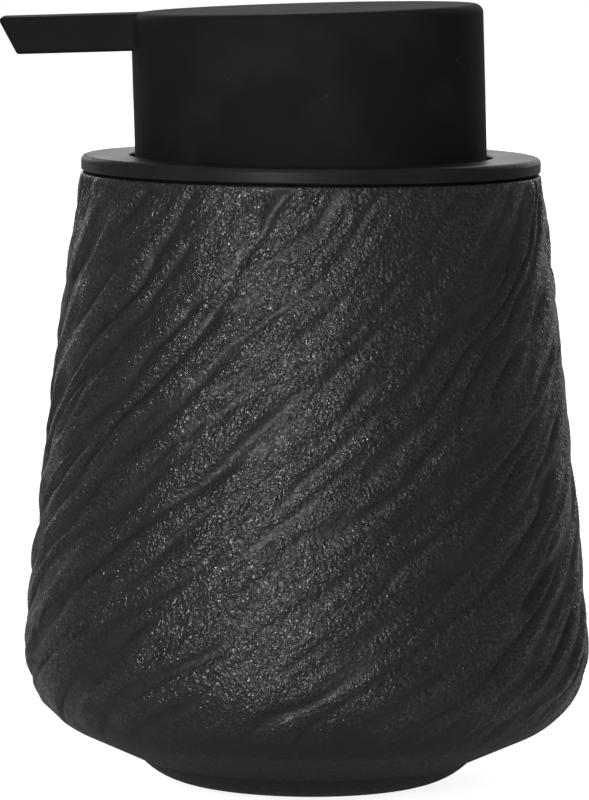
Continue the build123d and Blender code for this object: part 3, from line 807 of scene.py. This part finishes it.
# Polypropylene with no pigment, moulded thin. Light sinks in about a millimetre and comes out
# again, so it looks milky white with soft shadows.
SINK_SHARE = 0.25
SINK_DEPTH = (1.2 * MM, 1.1 * MM, 1.0 * MM)
natural, _, shader = moulded_finish("natural_polypropylene", "#dcdcd4", roughness=0.34,
                                    grain=0.6 * MM, depth=0.03 * MM)
shader.inputs["Subsurface Weight"].default_value = SINK_SHARE
shader.inputs["Subsurface Radius"].default_value = SINK_DEPTH

# Polyethylene tube, pushed out of a round die. It is waxy and lets nearly half the light through,
# and its wall is uneven in slow waves of about 1.5 mm.
CLEAR_SHARE = 0.45
milky_tube, _, shader = moulded_finish("milky_polyethylene_tube", "#e4e6e4", roughness=0.22,
                                       grain=1.5 * MM, depth=0.02 * MM)
shader.inputs["Transmission Weight"].default_value = CLEAR_SHARE

# %% Rubber and foam
# Silicone rubber, cured in a blasted mould: black and almost without shine. Its black is deeper
# than the plastics' as painted shade, so the seal reads as the dark shadowed gap under the collar.
# Its grain is drawn 0.25 mm wide, coarser than the real one.
gap_shade_rubber, _, _ = moulded_finish("black_silicone_rubber_painted_gap_shade", "#0a0a0a", roughness=0.85,
                              grain=0.25 * MM, depth=0.05 * MM, specular=0.1)

# Polyethylene foam, cut from sheet: dull white, with closed cells about 0.3 mm wide.
foam, _, _ = moulded_finish("white_foam_gasket", "#e8e8e2", roughness=0.85,
                            grain=0.3 * MM, depth=0.12 * MM, specular=0.3)

# %% [markdown]
# ## Steel
#
# The spring and the ball are bare steel inside the pump. A plain metal with one roughness would
# look like chrome plate. Wire is pulled through a die and a ball is lapped between plates, and
# both leave fine marks, so the roughness follows a fine noise.


# %% Steel finishes
# SMOOTHEST and ROUGHEST are in parts of the steel's own roughness.
STEEL_GREY = "#c4c6c8"
SMOOTHEST = 0.6
ROUGHEST = 1.5


def steel(name, roughness, mark_size):
    """Bare steel: metallic, with fine marks from drawing or lapping."""
    material, tree, shader = new_material(name, Base_Color=linear(STEEL_GREY), Metallic=1.0,
                                          Roughness=roughness)
    place = add(tree, "ShaderNodeTexCoord").outputs["Object"]
    marks = add(tree, "ShaderNodeTexNoise", {"Vector": place, "Scale": 1 / mark_size, "Detail": 4.0})
    worn = add(tree, "ShaderNodeMapRange",
               {"Value": marks, "To Min": roughness * SMOOTHEST, "To Max": roughness * ROUGHEST})
    tree.links.new(worn.outputs[0], shader.inputs["Roughness"])
    print("finish:", name)
    return material


# Stainless wire, pulled through a die: bright but softly streaked. The streaks are a few hundredths
# of a millimetre wide, too fine to show, so they are drawn 0.3 mm wide.
spring_wire = steel("drawn_stainless_wire", roughness=0.3, mark_size=0.3 * MM)

# A hardened steel ball, lapped to a near mirror. Its faint marks are drawn 1 mm wide, far coarser
# than the real ones.
ball_steel = steel("lapped_steel_ball", roughness=0.1, mark_size=1.0 * MM)

# %% [markdown]
# ## The spring
#
# The spring stands in the pump on a fixed seat. The Screw modifier could make a coil, but a coil is
# really a circle swept along a spiral, which is what Curve to Mesh does, so a short node tree makes
# it with caps on its ends.

# %% Spring tree
SPRING_INPUTS = {"Turns": "Float", "Coil Radius": "Float", "Wire Radius": "Float", "Height": "Float",
                 "Seat": "Vector", "Wire": "Material"}
SPIRAL_STEPS = 48
WIRE_SIDES = 16

coiling, given = new_tree("coil_spring", SPRING_INPUTS)
spiral = add(coiling, "GeometryNodeCurveSpiral",
             {"Resolution": SPIRAL_STEPS, "Rotations": given["Turns"], "Height": given["Height"],
              "Start Radius": given["Coil Radius"], "End Radius": given["Coil Radius"]})
wire_section = add(coiling, "GeometryNodeCurvePrimitiveCircle",
                   {"Resolution": WIRE_SIDES, "Radius": given["Wire Radius"]}, mode="RADIUS")
coil = add(coiling, "GeometryNodeCurveToMesh",
           {"Curve": spiral, "Profile Curve": wire_section, "Fill Caps": True})
seated = add(coiling, "GeometryNodeTransform", {"Geometry": coil, "Translation": given["Seat"]})
round_wire = add(coiling, "GeometryNodeSetShadeSmooth", {"Geometry": seated})
real = add(coiling, "GeometryNodeRealizeInstances", {"Geometry": round_wire})
drawn = add(coiling, "GeometryNodeSetMaterial", {"Geometry": real, "Material": given["Wire"]})
add(coiling, "NodeGroupOutput", {0: drawn})
print("spring tree:", len(coiling.nodes), "nodes")

# %% Make the spring
spring_low, spring_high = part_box("pump_spring")
WIRE_RADIUS = 0.45 * MM
SPRING = {
    "Turns": 7.0,
    "Coil Radius": spring_high.x - WIRE_RADIUS,
    "Wire Radius": WIRE_RADIUS,
    "Height": spring_high.z - spring_low.z - 2 * WIRE_RADIUS,
    "Seat": (0, 0, spring_low.z + WIRE_RADIUS),
    "Wire": spring_wire,
}
start = bpy.data.objects.new("spring_start", bpy.data.meshes.new("spring_start"))
scene.collection.objects.link(start)
spring = bake(start, "coil_spring", coiling, SPRING)
spring_top = max(corner.co.z for corner in spring.data.vertices)
print("spring:", len(spring.data.polygons), "faces, top at", round(spring_top, 5))

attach(spring, "pump")
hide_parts("pump_spring")
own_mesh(spring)

# %% [markdown]
# ## Finishes on the engineering parts
#
# Sixteen parts keep the engineering model's shape, because it is already right. They could be
# copied and edited, but a part needs only a better finish, so each one's material slots are
# filled again with the finish that the real part has.

# %% Give each part its finish
FINISHES = {
    "cap_shell": cap_plastic,
    "collar_insert": collar_plastic,
    "closure_nut": inner_black,
    "chaplet": inner_black,
    "mouth_seal": gap_shade_rubber,
    "base_pad": gap_shade_rubber,
    "neck_gasket": foam,
    "pump_housing": natural,
    "ball_cage": natural,
    "piston": natural,
    "stem": natural,
    "outlet_valve": natural,
    "actuator_core": natural,
    "spout_liner": natural,
    "dip_tube": milky_tube,
    "inlet_ball": ball_steel,
}
for part, material in FINISHES.items():
    nodes[part].data.materials.clear()
    nodes[part].data.materials.append(material)
print("finished parts:", len(FINISHES), "besides the pot and the spring")
